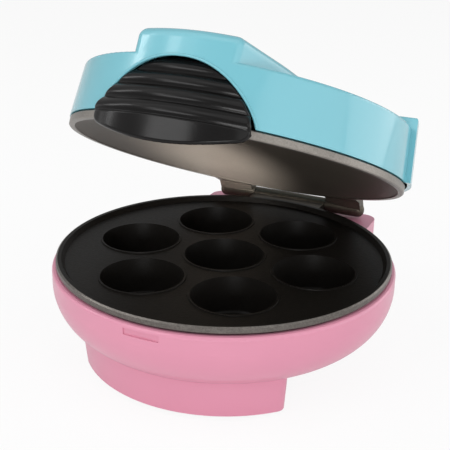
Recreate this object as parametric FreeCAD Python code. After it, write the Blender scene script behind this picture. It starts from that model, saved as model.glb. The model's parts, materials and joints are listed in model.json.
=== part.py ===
import FreeCAD, Part
import math
import os

os.makedirs("parts", exist_ok=True)

# Driving sizes in millimetres, drawn round the plate's axis with the floor at z = 0 and the hinge at +Y
# Lower plate and its cups
plate_r = 105.0
plate_bevel = 1.5
rim_z = 67.0
rim_band = 5.0
rim_rise = 3.0
rim_width = 3.4
rim_foot = 5.5
rim_chamfer = 0.8
metal = 2.0
cup_r = 25.0
cup_floor_r = 21.0
cup_depth = 22.0
cup_round = 3.0
cup_ring_r = 60.0
cup_count = 6
cup_lip_width = 1.6
cup_lip_rise = 0.6

# Base shell, legs, housing and gland
wall = 2.5
bowl_r = 107.5
bowl_low_r = 66.0
bowl_low_z = 12.5
bowl_edge_round = 2.2
bowl_flank = 11.0
bowl_belly_in = 7.0
bowl_belly_drop = 18.5
bowl_knee_in = 19.5
bowl_knee_drop = 28.0
ledge_r = 99.0
leg_angle = 100.0
leg_r = 89.0
leg_flare = 2.5
leg_top = 25.0
leg_corner = 6.0
foot_height = 2.0
foot_r = 5.5
foot_ring_r = 80.0
foot_turn = 40.0
housing_half = 64.0
housing_front = 60.0
housing_back = 127.0
housing_low = 24.0
housing_drop = 4.0
housing_corner = 9.0
catch_half = 11.0
catch_height = 4.0
catch_depth = 1.3
catch_drop = 2.5
gland_z = 36.0
gland_r = 6.0
gland_flange_r = 8.5
gland_length = 7.0
gland_out = 4.5
cord_r = 3.6

# Hinge and lid opening
hinge_y = 117.5
hinge_drop = 3.0
knuckle_r = 5.0
knuckle_half = 27.2
knuckle_end_round = 4.2
hinge_half = 56.0
end_wall = 4.0
pin_r = 2.0
running_gap = 0.05
side_gap = 0.4
lid_angle = 27.0
lid_gap = 0.5
dish = 12.0
dish_rim = 4.0
upper_rim = 4.8
rim_bevel = 0.6

# Lid shell
lid_wall_r = 105.5
lid_wall_low = 5.3
drum_top = 38.3
hood_top = 54.0
hood_wall = 4.0
hood_round = 6.0
hood_rear = 40.0
hood_flank = [(20.0, -120.0), (30.0, -99.0), (38.5, -75.0), (45.0, -56.0), (53.0, -28.0), (71.0, -2.0)]
collar_top = 44.5
collar_step = 3.2
collar_y = 8.0
lid_round = 1.8
draft = math.tan(math.radians(4.2))
boss_r = 4.5
boss_ring_r = 94.0
boss_low = 5.4

# Handle
handle_half = 46.5
handle_top = 37.0
handle_lip = 11.0
handle_gap = 0.7
lip_corner = 2.5
lip_stand = 6.5
lip_step = 1.6
arch_low = 5.0
band_top = 7.0
rib_count = 4
rib_rise = 7.4
rib_step = 2.8
rib_swell = 0.5
rib_groove = 0.6
back_in = 9.0
flange_grow = 3.0

# Heaters, shields, posts, fuses and screws
element_r = 3.2
heater_arc = 330.0
heater_turn = 105.0
ring_r = 92.5
upper_ring_r = 62.0
clip_half = 5.0
clip_width = 8.0
clip_wall = 1.2
shield_r = 86.0
upper_shield_r = 84.0
upper_shield_up = 26.0
sheet = 1.0
post_ring_r = 78.0
post_r = 3.4
post_turn = 30.0
post_count = 3
screw_r = 1.5
screw_head_r = 3.0
screw_head = 1.5
thermostat_r = 7.0
thermostat_height = 9.0
fuse_r = 2.5
fuse_length = 12.0
fuse_y = 24.0
terminal_half = 16.0
terminal_y = 30.0
terminal_deep = 14.0
terminal_height = 12.0

# Values worked out from the sizes above
far = 300.0
over = 1.0
hinge_z = rim_z - hinge_drop
floor_z = rim_z - rim_rise
floor_low = floor_z - metal
cup_low = floor_z - cup_depth
lid_z = rim_z + lid_gap
shell_top = rim_z - rim_band
housing_top = shell_top - housing_drop
centre_y = (housing_back + gland_out - bowl_r) / 2


def vec(x, y, z):
    return FreeCAD.Vector(x, y, z)


def polar(radius, degrees, z=0.0):
    a = math.radians(degrees)
    return vec(radius * math.cos(a), radius * math.sin(a), z)


def rod(radius, base, length, direction=(0, 0, 1)):
    return Part.makeCylinder(radius, length, base, vec(*direction))


def block(x0, x1, y0, y1, z0, z1):
    return Part.makeBox(x1 - x0, y1 - y0, z1 - z0, vec(x0, y0, z0))


def edge(points):
    ends = [vec(r, 0, z) for r, z in points]
    if len(ends) == 2:
        return Part.makeLine(ends[0], ends[1])
    return Part.Arc(ends[0], ends[1], ends[2]).toShape()


def revolve(pieces, degrees=360.0):
    face = Part.Face(Part.Wire([edge(piece) for piece in pieces]))
    return face.revolve(vec(0, 0, 0), vec(0, 0, 1), degrees)


def outline(pieces):
    return [[pieces[i], pieces[(i + 1) % len(pieces)]] for i in range(len(pieces))]


def cone(r_low, z_low, z_high):
    return Part.makeCone(r_low, r_low - draft * (z_high - z_low), z_high - z_low, vec(0, 0, z_low))


def round_edges(shape, radius, chosen):
    return shape.makeFillet(radius, [e for e in shape.Edges if chosen(e)])


def level(z):
    return lambda e: abs(e.BoundBox.ZMin - z) < 1e-4 and abs(e.BoundBox.ZMax - z) < 1e-4


def ring_of(piece, count, start=0.0):
    copies = []
    for i in range(count):
        copy = piece.copy()
        copy.rotate(vec(0, 0, 0), vec(0, 0, 1), start + 360.0 * i / count)
        copies.append(copy)
    return copies


def save(name, shapes, on_lid=False):
    whole = shapes[0] if len(shapes) == 1 else Part.makeCompound(shapes)
    if on_lid:
        whole.rotate(vec(0, hinge_y, hinge_z), vec(1, 0, 0), -lid_angle)
    whole.translate(vec(0, -centre_y, 0))
    whole.exportStep("parts/" + name + ".step")
    print(name, len(whole.Solids), round(whole.Volume / 1000.0, 2), whole.isValid())


# Bowl-shaped base shell with its two curved legs and the hollow hinge housing behind
ledge_z = floor_low - 0.2
bend_z = shell_top - bowl_flank
bend = [
    (bowl_r, bend_z),
    (bowl_r - bowl_belly_in, bend_z - bowl_belly_drop),
    (bowl_r - bowl_knee_in, bend_z - bowl_knee_drop),
]
inner_bend = [(r - wall, z + wall / 4) for r, z in bend]


def bowl(rim, curve, low_r, low_z, top):
    return revolve([
        [(0, low_z), (low_r, low_z)],
        [(low_r, low_z), curve[2]],
        [curve[2], curve[1], curve[0]],
        [curve[0], (rim, top)],
        [(rim, top), (0, top)],
        [(0, top), (0, low_z)],
    ])


keel_r = bowl_low_r + 8.0
bowl_outer = bowl(bowl_r, bend, keel_r, bowl_low_z, shell_top)
bowl_outer = round_edges(bowl_outer, bowl_edge_round, level(shell_top))
bowl_inner = bowl(bowl_r - wall, inner_bend, keel_r - 3.0, bowl_low_z + wall, shell_top + over)
housing = block(-housing_half, housing_half, housing_front, housing_back, housing_low, housing_top)


def housing_corners(e):
    return e.BoundBox.ZLength > housing_corner and e.BoundBox.YMin > bowl_low_r + housing_corner


housing = round_edges(housing, housing_corner, housing_corners)
inside = housing_half - wall
hollow_top = housing_top - 2 * wall
hollow = block(-inside, inside, housing_front, housing_back - wall, housing_low + wall, hollow_top)
trough_half = hinge_half + 1.5
trough = block(-trough_half, trough_half, bowl_r - over, housing_back + over, housing_top, shell_top + over)
leg_in = bowl_low_r + 1.0


def leg(middle):
    section = [(leg_in, foot_height), (leg_r, foot_height), (leg_r + leg_flare, leg_top), (leg_in, leg_top)]
    sector = revolve(outline(section), leg_angle)
    sector = round_edges(sector, leg_corner, lambda e: leg_top - foot_height - 1e-3 < e.BoundBox.ZLength)
    sector.rotate(vec(0, 0, 0), vec(0, 0, 1), middle - leg_angle / 2)
    return sector


base = bowl_outer.fuse([leg(-90.0), leg(90.0), housing])
base = base.cut([bowl_inner, hollow.cut(bowl_outer), trough])
ledge_out = bowl_r - over
ledge = revolve(outline([
    (ledge_r, ledge_z - 2.0),
    (ledge_out, ledge_z - 4.0),
    (ledge_out, ledge_z),
    (ledge_r, ledge_z),
]))
base = base.fuse(ledge)
floor_hole = rod(bowl_low_r - 6.0, vec(0, 0, 0), leg_top)
catch_z = shell_top - catch_drop
catch_y = catch_depth - bowl_r
catch = block(-catch_half, catch_half, -bowl_r - over, catch_y, catch_z - catch_height, catch_z)
gland_hole = rod(gland_r, vec(0, housing_back - 2 * wall, gland_z), 4 * wall, (0, 1, 0))
base = base.cut([floor_hole, catch, gland_hole]).removeSplitter()


def screw(spot, length, direction=(0, 0, 1), head_r=screw_head_r, head=screw_head, shank_r=screw_r):
    return rod(head_r, spot, head, direction).fuse(rod(shank_r, spot, length, direction))


# Flat cover under the bowl, held by four screws
cover = rod(bowl_low_r - 0.5, vec(0, 0, bowl_low_z - wall), wall)
cover_screws = []
for place in range(4):
    spot = polar(bowl_low_r - screw_head_r, 45.0 + 90.0 * place, bowl_low_z - wall - screw_head)
    cover_screws.append(screw(spot, screw_head + 2 * wall))
cover = cover.cut(cover_screws)
base = base.cut(cover_screws)

# Four round rubber pads under the legs
feet = []
for side in (-90.0, 90.0):
    for turn in (-foot_turn, foot_turn):
        feet.append(rod(foot_r, polar(foot_ring_r, side + turn), foot_height))

# Lower baking plate with a raised rim, seven cups and the middle hinge knuckle
plate = revolve(outline([
    (0, floor_low),
    (plate_r - plate_bevel, floor_low),
    (plate_r, floor_low + plate_bevel),
    (plate_r, rim_z - rim_chamfer),
    (plate_r - rim_chamfer, rim_z),
    (plate_r - rim_width, rim_z),
    (plate_r - rim_foot, floor_z),
    (0, floor_z),
]))
centres = [vec(0, 0, 0)] + [polar(cup_ring_r, 360.0 * i / cup_count) for i in range(cup_count)]


def cup(extra, low, high):
    slope = (cup_r - cup_floor_r) / cup_depth
    r_low = cup_floor_r + extra + slope * (low - cup_low)
    body = Part.makeCone(r_low, r_low + slope * (high - low), high - low, vec(0, 0, low))
    return round_edges(body, cup_round, level(low))


def arm(x0, x1, points):
    corners = [vec(x0, y, z) for y, z in points]
    return Part.Face(Part.makePolygon(corners + [corners[0]])).extrude(vec(x1 - x0, 0, 0))


def moved(shape, spot):
    copy = shape.copy()
    copy.translate(spot)
    return copy


lip_root = floor_z - metal / 2
lip_crown = floor_z + cup_lip_rise
lip = revolve(outline([
    (cup_r, lip_root),
    (cup_r + cup_lip_width, lip_root),
    (cup_r + cup_lip_width - 0.4, lip_crown),
    (cup_r, lip_crown),
]))
plate = plate.fuse([moved(cup(metal, cup_low - metal, floor_low + 0.5), c) for c in centres])
plate = plate.fuse([moved(lip, c) for c in centres])
plate = plate.cut([moved(cup(0.0, cup_low, floor_z + over), c) for c in centres])
arm_root = plate_r - rim_width - 0.2
arm_half = 1.6
lower_arm = arm(-knuckle_half, knuckle_half, [
    (arm_root, rim_z - 0.9),
    (arm_root, shell_top + 0.4),
    (hinge_y, hinge_z - arm_half),
    (hinge_y, hinge_z + arm_half),
])
middle = rod(knuckle_r, vec(-knuckle_half, hinge_y, hinge_z), 2 * knuckle_half, (1, 0, 0))
plate = plate.fuse([lower_arm, middle])
pin_bore = rod(pin_r, vec(-hinge_half, hinge_y, hinge_z), 2 * hinge_half, (1, 0, 0))
plate = plate.cut(pin_bore).removeSplitter()

# Screws that hold the lower plate down on the ledge
plate_screws = []
for place in range(3):
    spot = polar(plate_r - 3.2, -90.0 + 120.0 * place, ledge_z - 5.6)
    plate_screws.append(screw(spot, 8.0, head_r=2.3, head=1.8, shank_r=1.2))
base = base.cut(plate_screws)
plate = plate.cut(plate_screws)

# Ring heater under the lower plate with its clips


def ring_heater(radius, z):
    ring = Part.makeTorus(radius, element_r, vec(0, 0, z), vec(0, 0, 1), -180, 180, heater_arc)
    ring.rotate(vec(0, 0, 0), vec(0, 0, 1), heater_turn)
    return ring


def clip_block(radius, z_low, z_high):
    return block(radius - clip_half, radius + clip_half, -clip_width / 2, clip_width / 2, z_low, z_high)


heater_z = floor_low - 0.3 - element_r
lower_heater = ring_heater(ring_r, heater_z)
clip = clip_block(ring_r, heater_z - element_r - clip_wall, floor_low)
lower_clips = [c.cut(lower_heater) for c in ring_of(clip, 4)]

# Heat shield under the cups, hung on three posts
shield_z = cup_low - metal - 6.0
post_base = shield_z + sheet
lower_shield = rod(shield_r, vec(0, 0, shield_z), sheet)
post_angles = [post_turn + 360.0 * i / post_count for i in range(post_count)]
posts = [rod(post_r, polar(post_ring_r, turn, post_base), floor_low - post_base) for turn in post_angles]
shield_screws = [screw(polar(post_ring_r, turn, shield_z - screw_head), 9.0) for turn in post_angles]
posts = [p.cut(shield_screws) for p in posts]
lower_shield = lower_shield.cut(shield_screws)

# Thermostat and thermal fuse on the back of the lower plate, and the terminal block
nest_r = cup_ring_r / math.sqrt(3.0)
thermostat = rod(thermostat_r, polar(nest_r, 30.0, floor_low - thermostat_height), thermostat_height)
fuse_spot = polar(nest_r, 150.0, floor_low - fuse_r - 0.1) - vec(fuse_length / 2, 0, 0)
fuse_body = rod(fuse_r, fuse_spot, fuse_length, (1, 0, 0))
terminal = block(-terminal_half, terminal_half, terminal_y, terminal_y + terminal_deep,
                 bowl_low_z, bowl_low_z + terminal_height)

# Rubber gland where the lead enters the back of the housing
gland = rod(gland_r, vec(0, housing_back - wall, gland_z), gland_length, (0, 1, 0))
gland = gland.fuse(rod(gland_flange_r, vec(0, housing_back, gland_z), gland_out, (0, 1, 0)))
gland = gland.cut(rod(cord_r, vec(0, housing_back - 4 * wall, gland_z), 12 * wall, (0, 1, 0)))

# Hinge pin through all three knuckles
pin_half = hinge_half - end_wall
pin = rod(pin_r, vec(-pin_half, hinge_y, hinge_z), 2 * pin_half, (1, 0, 0))

# Upper plate: a smooth dished disc with a rim and the two outer knuckles, drawn with the lid closed
dish_r = plate_r - dish_rim
dish_low = lid_z + rim_bevel
dish_back = dish_r - 1.0
rim_back = lid_z + upper_rim
ball_r = (dish_r ** 2 + dish ** 2) / (2 * dish)
ball_z = dish_low + dish - ball_r


def on_ball(radius, r):
    return (r, ball_z + math.sqrt(radius ** 2 - r ** 2))


dish_arc = [on_ball(ball_r, r) for r in (dish_r, dish_r / 2, 0.0)]
back_arc = [on_ball(ball_r + metal, r) for r in (0.0, dish_r / 2, dish_back)]
upper = revolve([
    dish_arc,
    [dish_arc[2], back_arc[0]],
    back_arc,
    [back_arc[2], (dish_back, rim_back)],
    [(dish_back, rim_back), (plate_r - rim_bevel, rim_back)],
    [(plate_r - rim_bevel, rim_back), (plate_r, rim_back - rim_bevel)],
    [(plate_r, rim_back - rim_bevel), (plate_r, lid_z + rim_bevel)],
    [(plate_r, lid_z + rim_bevel), (plate_r - rim_bevel, lid_z)],
    [(plate_r - rim_bevel, lid_z), (plate_r - rim_width, lid_z)],
    [(plate_r - rim_width, lid_z), dish_arc[0]],
])
under = Part.makeSphere(ball_r + metal / 2, vec(0, 0, ball_z))
link_root = 86.0
link_inset = 1.5


def at_end(x):
    return lambda e: abs(e.BoundBox.XMin - x) < 0.01 and e.BoundBox.XLength < 0.01


for x0, x1 in ((-hinge_half, -knuckle_half - side_gap), (knuckle_half + side_gap, hinge_half)):
    tube = rod(knuckle_r, vec(x0, hinge_y, hinge_z), x1 - x0, (1, 0, 0))
    tube = round_edges(tube, knuckle_end_round, at_end(max(x0, x1, key=abs)))
    link = arm(x0 + link_inset, x1 - link_inset, [
        (link_root, rim_back),
        (link_root, lid_z + 1.2),
        (hinge_y - 10.5, lid_z + 0.4),
        (hinge_y - 3.2, hinge_z - 1.5),
        (hinge_y + 3.0, hinge_z + 3.4),
        (hinge_y - 3.0, rim_back),
    ])
    upper = upper.fuse([tube, link.cut(under)])
bore_half = pin_half + 0.5
bore = rod(pin_r + running_gap, vec(-bore_half, hinge_y, hinge_z), 2 * bore_half, (1, 0, 0))
upper = upper.cut(bore).removeSplitter()

# Lid shell: a tapered drum, a higher collar round its back half and a hood that runs to the front
shell_low = lid_z + lid_wall_low


def hood_body(inset):
    edge_x = lid_wall_r + 5.0
    flank = hood_flank + [(edge_x, collar_y + 1.0)]
    right = Part.BSplineCurve()
    right.interpolate([vec(x - inset, y + inset / 2, 0) for x, y in flank])
    left = Part.BSplineCurve()
    left.interpolate([vec(inset - x, y + inset / 2, 0) for x, y in reversed(flank)])
    rear_right = vec(edge_x - inset, hood_rear, 0)
    rear_left = vec(inset - edge_x, hood_rear, 0)
    sides = [
        right.toShape(),
        Part.makeLine(right.EndPoint, rear_right),
        Part.makeLine(rear_right, rear_left),
        Part.makeLine(rear_left, left.StartPoint),
        left.toShape(),
        Part.makeLine(left.EndPoint, right.StartPoint),
    ]
    body = Part.Face(Part.Wire(sides)).extrude(vec(0, 0, hood_top))
    body.translate(vec(0, 0, lid_z + drum_top - 10.0))
    body = body.common(cone(lid_wall_r - inset, shell_low, lid_z + hood_top + 20.0))
    slope = math.degrees(math.atan2(hood_top - collar_top, plate_r + collar_y))
    above = block(-far, far, -far, far, 0.0, far)
    above.rotate(vec(0, 0, 0), vec(1, 0, 0), -slope)
    above.translate(vec(0, -plate_r, lid_z + hood_top - inset))
    return body.cut(above)


def drum(inset, low):
    return cone(lid_wall_r - inset, low, lid_z + drum_top - inset)


def collar(inset, low):
    body = cone(lid_wall_r + collar_step - inset, low, lid_z + collar_top - inset)
    return body.common(block(-far, far, collar_y + inset, far, 0.0, far))


def hood_edges(e):
    on_roof = e.BoundBox.ZMin > lid_z + collar_top - 3.0 and e.BoundBox.YMax < hood_rear - 1.0
    at_front = e.BoundBox.YMax < -0.8 * plate_r and e.BoundBox.ZLength > hood_round
    return on_roof or at_front


drum_body = round_edges(drum(0.0, shell_low), lid_round, level(lid_z + drum_top))
collar_body = round_edges(collar(0.0, shell_low), lid_round, level(lid_z + collar_top))
hood = round_edges(hood_body(0.0), hood_round, hood_edges)
shell = drum_body.fuse([collar_body, hood])
shell = shell.cut([drum(wall, shell_low - over), collar(wall, shell_low - over), hood_body(hood_wall)])
boss_tops = {-35.0: drum_top, 215.0: drum_top, 55.0: collar_top, 125.0: collar_top}
bosses = []
for turn, top in boss_tops.items():
    bosses.append(rod(boss_r, polar(boss_ring_r, turn, lid_z + boss_low), top - boss_low - 1.0).cut(upper))
shell = shell.fuse(bosses).removeSplitter()

# Ribbed handle set into an arched opening of the front wall, with a lip that hangs over the base
lip_out = lid_wall_r + lip_stand
lip_in = bowl_r + 1.2
band_out = lip_out - lip_step
arch_y = -70.0
arch_steps = 6
arch_lean = 1.3
arch_power = 0.46


def arch_prism(grow):
    half = []
    for step in range(arch_steps + 1):
        rise = math.sin(math.pi / 2 * step / arch_steps)
        x = handle_half * (1.0 - rise ** arch_lean) ** arch_power + grow * (1.0 - rise)
        half.append((x, arch_low + (handle_top + grow - arch_low) * rise))
    crown = Part.BSplineCurve()
    crown.interpolate([vec(x, arch_y, lid_z + z) for x, z in half + [(-x, z) for x, z in half[-2::-1]]])
    corner = [vec(side * (handle_half + grow), arch_y, lid_z - lip_corner) for side in (-1, 1)]
    sag = Part.Arc(corner[0], vec(0, arch_y, lid_z - handle_lip - grow), corner[1]).toShape()
    sides = [Part.makeLine(corner[1], crown.StartPoint), Part.makeLine(crown.EndPoint, corner[0])]
    face = Part.Face(Part.Wire([sides[0], crown.toShape(), sides[1], sag]))
    return face.extrude(vec(0, arch_y, 0))


low = -handle_lip - over
front = [(lip_in, low), (lip_out, low), (lip_out, -1.2), (band_out, 0.2), (band_out, band_top - rib_groove)]
for rib in range(rib_count):
    out = band_out - rib_step * (rib + 1)
    z = band_top + rib_rise * rib
    front += [(out, z + 0.9), (out + rib_swell, z + rib_rise / 2), (out, z + rib_rise - rib_groove)]
last = band_out - rib_step * rib_count
crest = handle_top + 2.0
back_r = lid_wall_r - back_in
front += [(last, crest), (last - 3.0, crest), (back_r, lid_wall_low + 4.0), (back_r, lid_wall_low)]
front += [(lip_in, lid_wall_low)]
ribs = revolve(outline([(r, lid_z + z) for r, z in front]), 80.0)
ribs.rotate(vec(0, 0, 0), vec(0, 0, 1), -130.0)
handle = ribs.common(arch_prism(0.0))
liner = cone(lid_wall_r - wall, shell_low, lid_z + handle_top + 5.0)
liner = liner.cut(cone(lid_wall_r - 2 * wall, shell_low - over, lid_z + handle_top + 6.0))
flange = liner.common(arch_prism(flange_grow))
handle = handle.fuse(flange).removeSplitter()
shell = shell.cut([arch_prism(handle_gap), flange])

# Two screws from inside the lid into the handle
handle_screws = []
for x in (-20.0, 20.0):
    y = -math.sqrt(back_r ** 2 - x * x)
    handle_screws.append(screw(vec(x, y + 3.6, lid_z + 8.5), 9.0, (0, -1, 0), head=2.0))
handle = handle.cut(handle_screws)

# Ring heater, clips, shield, posts and thermal fuse above the upper plate


def upper_piece(shape):
    return max(shape.Solids, key=lambda s: s.CenterOfMass.z)


upper_z = dish_low + dish * 0.72 + metal + element_r + 0.4
upper_heater = ring_heater(upper_ring_r, upper_z)
upper_clip = clip_block(upper_ring_r, lid_z + 6.0, upper_z + element_r + clip_wall)
upper_clips = [upper_piece(c.cut([upper_heater, upper])) for c in ring_of(upper_clip, 4)]
shield_up = lid_z + upper_shield_up
upper_shield = rod(upper_shield_r, vec(0, 0, shield_up), sheet)
screw_top = shield_up + sheet + screw_head
upper_screws = [screw(polar(post_ring_r, turn, screw_top), 10.0, (0, 0, -1)) for turn in post_angles]
upper_posts = []
for turn in post_angles:
    column = rod(post_r, polar(post_ring_r, turn, lid_z + 3.0), shield_up - lid_z - 3.0)
    upper_posts.append(upper_piece(column.cut(upper)).cut(upper_screws))
upper_shield = upper_shield.cut(upper_screws)
fuse_z = lid_z + dish + metal + 4.6
upper_fuse = rod(fuse_r, vec(-fuse_length / 2, fuse_y, fuse_z), fuse_length, (1, 0, 0))

save("base_shell", [base])
save("bottom_cover", [cover])
save("bottom_screws", cover_screws)
save("rubber_feet", feet)
save("lower_plate", [plate])
save("plate_screws", plate_screws)
save("lower_heater", [lower_heater])
save("lower_heater_clips", lower_clips)
save("lower_shield", [lower_shield])
save("lower_posts", posts)
save("lower_shield_screws", shield_screws)
save("thermostat", [thermostat])
save("lower_thermal_fuse", [fuse_body])
save("terminal_block", [terminal])
save("cord_gland", [gland])
save("hinge_pin", [pin])
save("lid_shell", [shell], True)
save("lid_handle", [handle], True)
save("handle_screws", handle_screws, True)
save("upper_plate", [upper], True)
save("upper_heater", [upper_heater], True)
save("upper_heater_clips", upper_clips, True)
save("upper_shield", [upper_shield], True)
save("upper_posts", upper_posts, True)
save("upper_shield_screws", upper_screws, True)
save("upper_thermal_fuse", [upper_fuse], True)
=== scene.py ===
import json
import math

import bpy
from mathutils import Matrix, Vector


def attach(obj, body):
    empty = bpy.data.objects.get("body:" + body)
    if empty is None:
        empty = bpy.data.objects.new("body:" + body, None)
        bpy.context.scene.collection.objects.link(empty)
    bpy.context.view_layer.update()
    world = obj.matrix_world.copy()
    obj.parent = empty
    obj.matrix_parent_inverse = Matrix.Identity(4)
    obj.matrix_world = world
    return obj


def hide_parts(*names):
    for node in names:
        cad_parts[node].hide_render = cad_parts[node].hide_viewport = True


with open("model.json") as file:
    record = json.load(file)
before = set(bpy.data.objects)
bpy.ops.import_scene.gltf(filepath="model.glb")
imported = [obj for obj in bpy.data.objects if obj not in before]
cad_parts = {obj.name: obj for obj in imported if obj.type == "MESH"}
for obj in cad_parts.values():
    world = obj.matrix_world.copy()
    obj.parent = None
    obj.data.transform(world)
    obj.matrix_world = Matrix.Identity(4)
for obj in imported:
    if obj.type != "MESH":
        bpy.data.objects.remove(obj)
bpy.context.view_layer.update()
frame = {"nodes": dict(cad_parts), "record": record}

bpy.ops.object.select_all(action="DESELECT")

# Base shell and bottom cover: one bowl with two curved legs and a hinge housing behind it.
# They are injection-moulded from pale pink ABS with a high gloss, and the cover is screwed on below.
PINK_PALE = (0.685, 0.288, 0.390)
PINK_DEEP = (0.640, 0.251, 0.355)
CLOUD_SCALE = 14.0
HAZE_SCALE = 90.0
HAZE_SPREAD = 0.10
SKIN_ROUGHNESS = 0.08
PEEL_SCALE = 420.0
PEEL_DEPTH = 0.0004
MIX_SHARE, MIX_FIRST, MIX_SECOND, MIX_RESULT = 0, 6, 7, 2


class ShaderValue:
    """A value in a material's nodes: arithmetic on it adds Math nodes."""

    def __init__(self, tree, socket):
        self.tree = tree
        self.socket = socket

    def maths(self, operation, other):
        return node(self.tree, "ShaderNodeMath", {"operation": operation}, {0: self, 1: other})

    def __add__(self, other):
        return self.maths("ADD", other)

    __radd__ = __add__

    def __mul__(self, other):
        return self.maths("MULTIPLY", other)

    __rmul__ = __mul__

    def __sub__(self, other):
        return self + -1.0 * other

    def __rsub__(self, other):
        return -1.0 * self + other

    def __gt__(self, other):
        return self.maths("GREATER_THAN", other)

    def __lt__(self, other):
        return self.maths("LESS_THAN", other)

    def root(self):
        return self.maths("SQRT", 0.0)


def plug_in(tree, socket, value):
    """Links a shader value to a socket, or sets a plain value on it."""
    if isinstance(value, ShaderValue):
        tree.links.new(value.socket, socket)
    else:
        socket.default_value = value


def node(tree, kind, settings=None, inputs=None, output=0):
    """Adds one node, with its settings first, and gives back one of its outputs."""
    made = tree.nodes.new(kind)
    for name, value in (settings or {}).items():
        setattr(made, name, value)
    for name, value in (inputs or {}).items():
        plug_in(tree, made.inputs[name], value)
    return ShaderValue(tree, made.outputs[output])


def new_finish(name):
    """A new material, with its node tree and its shader."""
    material = bpy.data.materials.new(name)
    material.use_nodes = True
    tree = material.node_tree
    shader = next(n for n in tree.nodes if n.type == "BSDF_PRINCIPLED")
    return material, tree, shader


def set_finish(tree, shader, values):
    for name, value in values.items():
        plug_in(tree, shader.inputs[name], value)


def object_place(tree):
    return node(tree, "ShaderNodeTexCoord", output="Object")


def noise(tree, where, scale, detail=2.0):
    return node(tree, "ShaderNodeTexNoise", None, {"Vector": where, "Scale": scale, "Detail": detail}, "Fac")


def two_tone(tree, share, first, second):
    """Mixes two colours, each a plain colour or a shader value."""
    first, second = (c if isinstance(c, ShaderValue) else (*c, 1.0) for c in (first, second))
    inputs = {MIX_SHARE: share, MIX_FIRST: first, MIX_SECOND: second}
    return node(tree, "ShaderNodeMix", {"data_type": "RGBA"}, inputs, MIX_RESULT)


def bump(tree, height, strength, depth):
    inputs = {"Height": height, "Strength": strength, "Distance": depth}
    return node(tree, "ShaderNodeBump", None, inputs, "Normal")


def gloss_plastic(name, pale, deep, roughness, coat, peel, shine):
    """A glossy moulding: clouded colour, a clear skin of weight coat, and a faint orange peel."""
    material, tree, shader = new_finish(name)
    where = object_place(tree)
    cloud = noise(tree, where, CLOUD_SCALE, 3.0)
    haze = noise(tree, where, HAZE_SCALE, 4.0)
    set_finish(tree, shader, {
        "Base Color": two_tone(tree, cloud, pale, deep),
        "Roughness": haze * HAZE_SPREAD + (roughness - HAZE_SPREAD / 2.0),
        "Coat Weight": coat,
        "Coat Roughness": SKIN_ROUGHNESS,
        "Specular IOR Level": shine,
        "Normal": bump(tree, noise(tree, where, PEEL_SCALE, 1.0), peel, PEEL_DEPTH),
    })
    return material


def dress(names, material):
    """Gives CAD nodes a finish in every slot that they have."""
    for name in names:
        slots = frame["nodes"][name].data.materials
        if not slots:
            slots.append(material)
        for i in range(len(slots)):
            slots[i] = material


pink_gloss = gloss_plastic(
    "pink_gloss", PINK_PALE, PINK_DEEP, roughness=0.34, coat=0.25, peel=0.05, shine=0.3)
dress(["base_shell", "bottom_cover"], pink_gloss)

# Feet and cord gland: soft rubber, pink under the legs and black in the back of the housing.
# Moulded rubber is matt, with a faint grain and a paler bloom of dust; each piece is pressed in.
PAD_PALE = (0.60, 0.25, 0.34)
PAD_DEEP = (0.66, 0.29, 0.39)
GLAND_PALE = (0.016, 0.016, 0.017)
GLAND_DEEP = (0.034, 0.033, 0.033)
BLOOM_SCALE = 60.0
RUBBER_HAZE_SCALE = 150.0
RUBBER_HAZE_SPREAD = 0.2
RUBBER_ROUGHNESS = 0.62
RUBBER_GRAIN_SCALE = 900.0
RUBBER_GRAIN = 0.25
GRAIN_DEPTH = 0.0003


def matt_rubber(name, pale, deep):
    material, tree, shader = new_finish(name)
    where = object_place(tree)
    haze = noise(tree, where, RUBBER_HAZE_SCALE)
    set_finish(tree, shader, {
        "Base Color": two_tone(tree, noise(tree, where, BLOOM_SCALE, 4.0), pale, deep),
        "Roughness": haze * RUBBER_HAZE_SPREAD + RUBBER_ROUGHNESS,
        "Normal": bump(tree, noise(tree, where, RUBBER_GRAIN_SCALE), RUBBER_GRAIN, GRAIN_DEPTH),
    })
    return material


dress(["rubber_feet"], matt_rubber("pad_rubber", PAD_PALE, PAD_DEEP))
dress(["cord_gland"], matt_rubber("gland_rubber", GLAND_PALE, GLAND_DEEP))

# Lower plate: a cast aluminium disc with seven cups, coated black inside.
# The turned outer edge of its rim is left as bare grey metal; the hinge arm is dark coated metal.
lid_hinge = frame["record"]["behaviour"]["joints"][0]
PIVOT = Vector(lid_hinge["pos_m"])
LID_TILT = -lid_hinge["range_deg"][0]
PLATE_AXIS_Y = -0.012
HINGE_Y = 0.086
LOWER_EDGE_R = 0.1038
GRIT_SCALE = 1100.0
SPECK_SCALE = 420.0
STAIN_SCALE = 22.0
EDGE_GRIT_SHARE = 0.6
COAT_STAIN_SHARE = 0.3
COAT_SPECK_SHARE = 0.3
SPECK_SPREAD = 0.12
CAST_GRAIN = 0.30
CAST_DEPTH = 0.0004
hinge_bronze = dict(pale=(0.060, 0.051, 0.040), deep=(0.115, 0.100, 0.080), metallic=0.60, roughness=0.40)
black_coat = dict(pale=(0.004, 0.0035, 0.003), deep=(0.009, 0.0075, 0.006), metallic=0.0, roughness=0.42)
dark_turned = dict(pale=(0.030, 0.027, 0.024), deep=(0.270, 0.250, 0.230), metallic=0.90, roughness=0.36)


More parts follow.
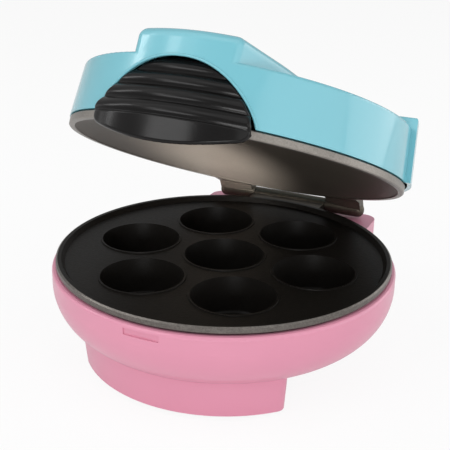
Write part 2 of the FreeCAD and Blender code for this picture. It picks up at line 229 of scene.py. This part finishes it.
def coated_casting(name, tilt_degrees, coat, edge, edge_r, shine):
    """A cast plate: its coat inside edge_r, a turned rim outside it, bronze hinge arms behind HINGE_Y.
    The pattern is turned back by the tilt, to a level plate with its axis at the origin."""
    material, tree, shader = new_finish(name)
    tilt = math.radians(tilt_degrees)
    shift = PIVOT - Matrix.Rotation(tilt, 4, "X") @ PIVOT - Vector((0.0, PLATE_AXIS_Y, 0.0))
    flat = node(tree, "ShaderNodeMapping", None, {
        "Vector": object_place(tree), "Location": shift, "Rotation": (tilt, 0.0, 0.0)})
    x = node(tree, "ShaderNodeSeparateXYZ", None, {0: flat}, "X")
    y = node(tree, "ShaderNodeSeparateXYZ", None, {0: flat}, "Y")
    outside = (x * x + y * y).root() > edge_r
    on_edge = outside * (y < HINGE_Y)
    on_hinge = outside * (y > HINGE_Y)
    grit = noise(tree, flat, GRIT_SCALE, 2.0)
    speck = noise(tree, flat, SPECK_SCALE, 5.0)
    stain = noise(tree, flat, STAIN_SCALE, 3.0)
    grain = grit * EDGE_GRIT_SHARE + speck * (1.0 - EDGE_GRIT_SHARE)
    coat_grit = grit * (1.0 - COAT_STAIN_SHARE - COAT_SPECK_SHARE)
    coat_mottle = stain * COAT_STAIN_SHARE + speck * COAT_SPECK_SHARE + coat_grit
    coat_colour = two_tone(tree, coat_mottle, coat["pale"], coat["deep"])
    edge_colour = two_tone(tree, grain, edge["pale"], edge["deep"])
    hinge_colour = two_tone(tree, speck, hinge_bronze["pale"], hinge_bronze["deep"])
    plate_colour = two_tone(tree, on_edge, coat_colour, edge_colour)

    def zoned(quality):
        """A number that is the coat's own, and changes on the rim and on the hinge arms."""
        on_rim = on_edge * (edge[quality] - coat[quality])
        on_arms = on_hinge * (hinge_bronze[quality] - coat[quality])
        return on_rim + on_arms + coat[quality]

    set_finish(tree, shader, {
        "Base Color": two_tone(tree, on_hinge, plate_colour, hinge_colour),
        "Metallic": zoned("metallic"),
        "Roughness": zoned("roughness") + speck * SPECK_SPREAD - SPECK_SPREAD / 2.0,
        "Specular IOR Level": shine,
        "Normal": bump(tree, grain, CAST_GRAIN, CAST_DEPTH),
    })
    return material


black_cup_plate = coated_casting(
    "black_cup_plate", 0.0, black_coat, dark_turned, edge_r=LOWER_EDGE_R, shine=0.12)
dress(["lower_plate"], black_cup_plate)

# Upper plate: a smooth dished casting with a satin dark bronze-grey coat.
# Its rim is bare turned metal and its two arms end in the outer hinge knuckles.
UPPER_EDGE_R = 0.1012
bronze_coat = dict(pale=(0.028, 0.0233, 0.0188), deep=(0.150, 0.127, 0.105), metallic=0.25, roughness=0.46)
pale_turned = dict(pale=(0.13, 0.120, 0.108), deep=(0.40, 0.370, 0.338), metallic=0.90, roughness=0.40)
satin_dish_plate = coated_casting(
    "satin_dish_plate", LID_TILT, bronze_coat, pale_turned, edge_r=UPPER_EDGE_R, shine=0.04)
dress(["upper_plate"], satin_dish_plate)

# Lid shell: a tapered drum with a raised hood and a taller collar round the back half.
# It is one pale blue gloss moulding, screwed to the upper plate from inside.
BLUE_PALE = (0.180, 0.490, 0.565)
BLUE_DEEP = (0.155, 0.450, 0.530)
blue_gloss = gloss_plastic(
    "blue_gloss", BLUE_PALE, BLUE_DEEP, roughness=0.22, coat=0.5, peel=0.04, shine=0.4)
dress(["lid_shell"], blue_gloss)

# Handle: a ribbed black gloss moulding set into the arched opening of the lid's front wall.
# Its rounded ribs step back into the lid, its lip hangs over the base, and two screws hold it.
# It is shaped on the closed lid, with heights from the lid's rim plane, then turned open about the hinge.
LID_PLANE_Z = 0.0675
HANDLE_HALF = 0.0462
HANDLE_TOP = 0.0367
HANDLE_WALL = 0.003
ARCH_LOW = 0.005
ARCH_LEAN = 1.3
ARCH_POWER = 0.46
LIP_R = 0.1120
LIP_DROP = 0.011
LIP_CORNER_DROP = 0.0025
LIP_CORNER_ROUND = 0.0042
LIP_ROUND = 0.0016
LIP_CREASE = 0.0018
LIP_TOP = 0.0022
LIP_BLEND = 0.0014
LIP_END_POWER = 8
BAND_R = 0.1100
RIB_LOW = 0.0030
RIB_RISE = 0.0085
RIB_STEP = 0.0030
RIB_SWELL = 0.0021
RIB_FULLNESS = 0.8
FACE_EDGE_ROUND = 0.0014
HANDLE_COLUMNS = 72
HANDLE_ROWS = 150
LIP_ROWS = 34
LIP_ROW_CROWDING = 1.4
TOP_ROW_REACH = 0.995
HANDLE_SMOOTH = math.radians(60.0)
BLACK_PALE = (0.004, 0.004, 0.004)
BLACK_DEEP = (0.008, 0.007, 0.007)
swing_open = Matrix.Rotation(math.radians(-LID_TILT), 4, "X")
LID_OPEN = Matrix.Translation(PIVOT) @ swing_open @ Matrix.Translation(-PIVOT)


def within_one(share):
    return min(max(share, 0.0), 1.0)


def eased(share):
    share = within_one(share)
    return share * share * (3.0 - 2.0 * share)


def arch_width(rise):
    """Half the arch's width where it has climbed a share of its height."""
    return HANDLE_HALF * (1.0 - rise ** ARCH_LEAN) ** ARCH_POWER


def arch_half_width(z):
    """Half the width of the arched opening at a height."""
    return arch_width(within_one((z - ARCH_LOW) / (HANDLE_TOP - ARCH_LOW)))


def lip_low(x):
    """The lip's lower edge: a shallow sag with rounded ends."""
    sag = -LIP_DROP + (LIP_DROP - LIP_CORNER_DROP) * (x / HANDLE_HALF) ** 2
    past = max(abs(x) - HANDLE_HALF + LIP_CORNER_ROUND, 0.0) / LIP_CORNER_ROUND
    return sag + LIP_CORNER_ROUND * (1.0 - math.sqrt(1.0 - min(past, 1.0) ** 2))


def quarter_round(inside, radius):
    """How far a rounded edge falls back at a distance inside its outline."""
    share = 1.0 - within_one(inside / radius)
    return radius * (1.0 - math.sqrt(1.0 - share * share))


def handle_face_r(x, z):
    """How far the handle's face stands from the plate axis; the lip sinks into the band at its ends."""
    rib = max((z - RIB_LOW) / RIB_RISE, 0.0)
    ribbed = BAND_R - RIB_STEP * rib + RIB_SWELL * abs(math.sin(math.pi * rib)) ** RIB_FULLNESS
    lip = BAND_R + (LIP_R - BAND_R) * (1.0 - (x / HANDLE_HALF) ** LIP_END_POWER)
    face_r = lip + (ribbed - lip) * eased((z - LIP_TOP) / LIP_BLEND)
    face_r -= quarter_round(arch_half_width(z) - abs(x), FACE_EDGE_ROUND)
    return face_r - quarter_round(z - lip_low(x), LIP_ROUND)


def handle_spot(across, row):
    """The x and the height of a point of the face: rows of the lip follow its edge, the others are level."""
    if row <= LIP_ROWS:
        x = across * HANDLE_HALF
        low = lip_low(x)
        return x, low + (LIP_CREASE - low) * (row / LIP_ROWS) ** LIP_ROW_CROWDING
    climb = (row - LIP_ROWS) / (HANDLE_ROWS - LIP_ROWS) * TOP_ROW_REACH
    z = LIP_CREASE + (HANDLE_TOP - LIP_CREASE) * climb
    return across * arch_half_width(z), z


bpy.ops.mesh.primitive_grid_add(x_subdivisions=HANDLE_COLUMNS, y_subdivisions=HANDLE_ROWS, size=2.0)
handle = bpy.context.object
handle.name = "handle_ribs"
for vertex in handle.data.vertices:
    across = math.sin(vertex.co.x * math.pi / 2.0)
    x, z = handle_spot(across, (vertex.co.y + 1.0) / 2.0 * HANDLE_ROWS)
    y = PLATE_AXIS_Y - math.sqrt(handle_face_r(x, z) ** 2 - x ** 2)
    vertex.co = LID_OPEN @ Vector((x, y, LID_PLANE_Z + z))
front = LID_OPEN.to_3x3() @ Vector((0.0, -1.0, 0.0))
if handle.data.polygons[0].normal.dot(front) < 0.0:
    handle.data.flip_normals()
wall = handle.modifiers.new("wall", "SOLIDIFY")
wall.thickness = HANDLE_WALL
wall.offset = -1.0
bpy.ops.object.modifier_apply(modifier="wall")
bpy.ops.object.shade_smooth_by_angle(angle=HANDLE_SMOOTH)
black_gloss = gloss_plastic(
    "black_gloss", BLACK_PALE, BLACK_DEEP, roughness=0.20, coat=0.0, peel=0.02, shine=0.20)
handle.data.materials.append(black_gloss)
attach(handle, "lid")
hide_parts("lid_handle")

# Arch edge: the rolled edge of the lid shell's arched opening, a thin round bead.
# It is part of the blue moulding and stands a little proud of the wall, round the handle.
EDGE_BEAD_R = 0.0008
EDGE_GROW = 0.0010
EDGE_LOW = 0.0055
EDGE_STEPS = 96
EDGE_SIDES = 14
EDGE_NUDGE = 0.002
EDGE_SMOOTH = math.radians(50.0)
SEAM_GAP = 0.00001
WALL_R = 0.1055
WALL_LOW = 0.0053
WALL_LEAN = math.radians(4.2)


def arch_edge_point(turn):
    """A point of the edge on the lid's wall, from its right end (0) over the top to its left end (pi)."""
    rise = math.sin(turn)
    x = math.copysign(arch_width(rise) + EDGE_GROW * (1.0 - rise), math.cos(turn))
    z = EDGE_LOW + (HANDLE_TOP + EDGE_GROW - EDGE_LOW) * rise
    wall_r = WALL_R - math.tan(WALL_LEAN) * (z - WALL_LOW)
    return Vector((x, PLATE_AXIS_Y - math.sqrt(wall_r ** 2 - x ** 2), LID_PLANE_Z + z))


bpy.ops.object.select_all(action="DESELECT")
bpy.ops.mesh.primitive_grid_add(x_subdivisions=EDGE_STEPS, y_subdivisions=EDGE_SIDES, size=2.0)
arch_edge = bpy.context.object
arch_edge.name = "arch_edge"
for vertex in arch_edge.data.vertices:
    turn = min(max((vertex.co.x + 1.0) / 2.0 * math.pi, EDGE_NUDGE), math.pi - EDGE_NUDGE)
    spot = arch_edge_point(turn)
    before = arch_edge_point(max(turn - EDGE_NUDGE, 0.0))
    after = arch_edge_point(min(turn + EDGE_NUDGE, math.pi))
    ahead = (after - before).normalized()
    outward = Vector((spot.x, spot.y - PLATE_AXIS_Y, 0.0)).normalized()
    aside = ahead.cross(outward).normalized()
    around = (vertex.co.y + 1.0) * math.pi
    reach = math.cos(around) * aside.cross(ahead) + math.sin(around) * aside
    vertex.co = LID_OPEN @ (spot + EDGE_BEAD_R * reach)
bpy.ops.object.mode_set(mode="EDIT")
bpy.ops.mesh.select_all(action="SELECT")
bpy.ops.mesh.remove_doubles(threshold=SEAM_GAP)
bpy.ops.mesh.select_all(action="DESELECT")
bpy.ops.mesh.select_non_manifold()
bpy.ops.mesh.edge_face_add()
bpy.ops.mesh.select_all(action="SELECT")
bpy.ops.mesh.normals_make_consistent(inside=False)
bpy.ops.object.mode_set(mode="OBJECT")
bpy.ops.object.shade_smooth_by_angle(angle=EDGE_SMOOTH)
arch_edge.data.materials.append(blue_gloss)
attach(arch_edge, "lid")

# Heaters, shields, posts, clips, screws and pin: plain bright and dark metal inside the shells.
# The sheathed heaters are oxidised steel; the sheet and posts are aluminium, the screws plated.
SCRATCH_SCALE = 240.0
SCRATCH_STRETCH = (1.0, 1.0, 8.0)
SCRATCH_SPREAD = 0.2
SCRATCH_GRAIN = 0.1
TARNISH_SCALE = 45.0


def worn_metal(name, pale, deep, roughness, metallic):
    material, tree, shader = new_finish(name)
    where = object_place(tree)
    drawn = node(tree, "ShaderNodeMapping", None, {"Vector": where, "Scale": SCRATCH_STRETCH})
    scratch = noise(tree, drawn, SCRATCH_SCALE, 4.0)
    set_finish(tree, shader, {
        "Base Color": two_tone(tree, noise(tree, where, TARNISH_SCALE, 4.0), pale, deep),
        "Metallic": metallic,
        "Roughness": scratch * SCRATCH_SPREAD + (roughness - SCRATCH_SPREAD / 2.0),
        "Normal": bump(tree, scratch, SCRATCH_GRAIN, GRAIN_DEPTH),
    })
    return material


heater_sheath = worn_metal(
    "heater_sheath", (0.16, 0.14, 0.12), (0.26, 0.23, 0.20), roughness=0.45, metallic=0.9)
bright_sheet = worn_metal(
    "bright_sheet", (0.62, 0.62, 0.60), (0.72, 0.72, 0.71), roughness=0.32, metallic=1.0)
plated_steel = worn_metal(
    "plated_steel", (0.42, 0.41, 0.40), (0.55, 0.54, 0.52), roughness=0.3, metallic=1.0)
for level in ("lower", "upper"):
    dress([f"{level}_heater"], heater_sheath)
    dress([f"{level}_shield", f"{level}_posts", f"{level}_heater_clips"], bright_sheet)
    dress([f"{level}_shield_screws"], plated_steel)
dress(["bottom_screws", "plate_screws", "handle_screws", "hinge_pin"], plated_steel)

# Thermostat, thermal fuses and terminal block: pale heat-proof mouldings on the plates and the cover.
# Their plastic is matt and a little mottled.
CREAM_PALE = (0.60, 0.55, 0.46)
CREAM_DEEP = (0.70, 0.65, 0.56)
MOTTLE_SCALE = 70.0
CREAM_HAZE_SCALE = 200.0
CREAM_HAZE_SPREAD = 0.15
CREAM_ROUGHNESS = 0.5
CREAM_GRAIN_SCALE = 600.0
CREAM_GRAIN = 0.15


def matt_moulding(name):
    material, tree, shader = new_finish(name)
    where = object_place(tree)
    haze = noise(tree, where, CREAM_HAZE_SCALE)
    set_finish(tree, shader, {
        "Base Color": two_tone(tree, noise(tree, where, MOTTLE_SCALE, 3.0), CREAM_PALE, CREAM_DEEP),
        "Roughness": haze * CREAM_HAZE_SPREAD + CREAM_ROUGHNESS,
        "Normal": bump(tree, noise(tree, where, CREAM_GRAIN_SCALE), CREAM_GRAIN, GRAIN_DEPTH),
    })
    return material


control_plastic = matt_moulding("control_plastic")
dress(["thermostat", "lower_thermal_fuse", "upper_thermal_fuse", "terminal_block"], control_plastic)

# Floor: a wide plain pale sheet just under the object, painted matt.
# It keeps the object's soft shadow, and glows white for the camera and grey for reflections.
FLOOR_SIZE = 40.0
FLOOR_Z = -0.0002
FLOOR_PALE = (0.88, 0.88, 0.88)
FLOOR_DEEP = (0.86, 0.86, 0.86)
FLOOR_CLOUD_SCALE = 3.0
FLOOR_ROUGHNESS = 0.9
FLOOR_GLOW = 0.9
MIRROR_GLOW = 0.4
WHITE = (1.0, 1.0, 1.0, 1.0)


def seen_by(tree, ray):
    return node(tree, "ShaderNodeLightPath", output=f"Is {ray} Ray")


bpy.ops.mesh.primitive_plane_add(size=FLOOR_SIZE, location=(0.0, 0.0, FLOOR_Z))
floor = bpy.context.object
floor.name = "floor"
floor_paint, tree, shader = new_finish("pale_floor")
floor_cloud = noise(tree, object_place(tree), FLOOR_CLOUD_SCALE)
set_finish(tree, shader, {
    "Base Color": two_tone(tree, floor_cloud, FLOOR_DEEP, FLOOR_PALE),
    "Roughness": FLOOR_ROUGHNESS,
})
seen_straight = seen_by(tree, "Camera") + seen_by(tree, "Transmission")
glow_share = seen_straight * FLOOR_GLOW + seen_by(tree, "Glossy") * MIRROR_GLOW
glow = node(tree, "ShaderNodeEmission", None, {"Color": WHITE, "Strength": 1.0})
paint = ShaderValue(tree, shader.outputs[0])
mixed = node(tree, "ShaderNodeMixShader", None, {0: glow_share, 1: paint, 2: glow})
surface = next(n for n in tree.nodes if n.type == "OUTPUT_MATERIAL")
plug_in(tree, surface.inputs["Surface"], mixed)
floor.data.materials.append(floor_paint)

# Studio: a pale room that the camera sees as white, nine soft boxes, and a soft spot for the dish.
# The boxes hang at the front, left, right and top, and all point at the middle of the object.
# The spot lights the upper plate alone.
ROOM_LIGHT = 0.40
ROOM_FOR_CAMERA = 0.60
ROOM_FOR_MIRRORS = 0.10
BOX_AIM = Vector((0.0, 0.0, 0.1))
DISH_SPOT_POWER = 140.0
DISH_SPOT_CONE = math.radians(8.5)
DISH_SPOT_R = 0.02
DISH_SPOT_PLACE = Vector((-0.036, -0.60, 0.10))
DISH_SPOT_AIM = Vector((-0.037, 0.055, 0.107))


def hang_lamp(lamp, place, aim):
    holder = bpy.data.objects.new(lamp.name, lamp)
    bpy.context.collection.objects.link(holder)
    holder.location = place
    holder.rotation_euler = (aim - place).to_track_quat("-Z", "Y").to_euler()
    return holder


def soft_box(name, place, power, width, height):
    lamp = bpy.data.lights.new(name, "AREA")
    lamp.shape = "RECTANGLE"
    lamp.size = width
    lamp.size_y = height
    lamp.energy = power
    hang_lamp(lamp, Vector(place), BOX_AIM)


world = bpy.data.worlds.new("studio")
bpy.context.scene.world = world
world.use_nodes = True
tree = world.node_tree
room = next(n for n in tree.nodes if n.type == "BACKGROUND")
room_extra = seen_by(tree, "Camera") * ROOM_FOR_CAMERA + seen_by(tree, "Glossy") * ROOM_FOR_MIRRORS
plug_in(tree, room.inputs["Color"], WHITE)
plug_in(tree, room.inputs["Strength"], room_extra + ROOM_LIGHT)
soft_box("key_box", (-0.49, -1.16, 0.92), power=3.6, width=0.70, height=0.37)
soft_box("block_box", (-0.78, -0.80, 1.10), power=0.6, width=0.20, height=0.35)
soft_box("streak_box", (-1.13, -0.41, 0.82), power=2.0, width=0.16, height=0.60)
soft_box("left_box", (-1.25, -0.25, 0.28), power=0.4, width=0.25, height=0.40)
soft_box("high_box", (-0.57, -0.33, 1.34), power=2.5, width=1.20, height=1.00)
soft_box("right_box", (1.04, 0.78, 0.38), power=5.5, width=1.40, height=0.70)
soft_box("fill_box", (1.06, -0.385, 0.75), power=3.0, width=1.20, height=0.80)
soft_box("top_box", (0.3, -0.2, 1.4), power=2.5, width=1.00, height=1.00)
soft_box("low_box", (0.45, -1.15, 0.22), power=4.5, width=0.60, height=0.30)
dish_lamp = bpy.data.lights.new("dish_spot", "SPOT")
dish_lamp.energy = DISH_SPOT_POWER
dish_lamp.spot_size = DISH_SPOT_CONE
dish_lamp.spot_blend = 1.0
dish_lamp.shadow_soft_size = DISH_SPOT_R
dish_spot = hang_lamp(dish_lamp, DISH_SPOT_PLACE, DISH_SPOT_AIM)
dish_only = bpy.data.collections.new("dish_only")
dish_only.objects.link(frame["nodes"]["upper_plate"])
dish_spot.light_linking.receiver_collection = dish_only

# Camera: in front and to the right, a little above the plate, as the photograph was taken.
# Its place, roll and lens were fitted to the round rims of the two plates.
CAMERA_PLACE = Vector((0.2220, -0.5019, 0.2945))
CAMERA_AIM = Vector((0.0002, PLATE_AXIS_Y, 0.0840))
CAMERA_ROLL = math.radians(1.12)
FOCAL_MM = 73.9
SENSOR_MM = 36.0
lens = bpy.data.cameras.new("camera")
lens.lens = FOCAL_MM
lens.sensor_width = SENSOR_MM
camera = bpy.data.objects.new("camera", lens)
bpy.context.collection.objects.link(camera)
look = (CAMERA_AIM - CAMERA_PLACE).to_track_quat("-Z", "Y").to_matrix().to_4x4()
camera.matrix_world = Matrix.Translation(CAMERA_PLACE) @ look @ Matrix.Rotation(CAMERA_ROLL, 4, "Z")
bpy.context.scene.camera = camera
bpy.context.scene.view_settings.view_transform = "Standard"
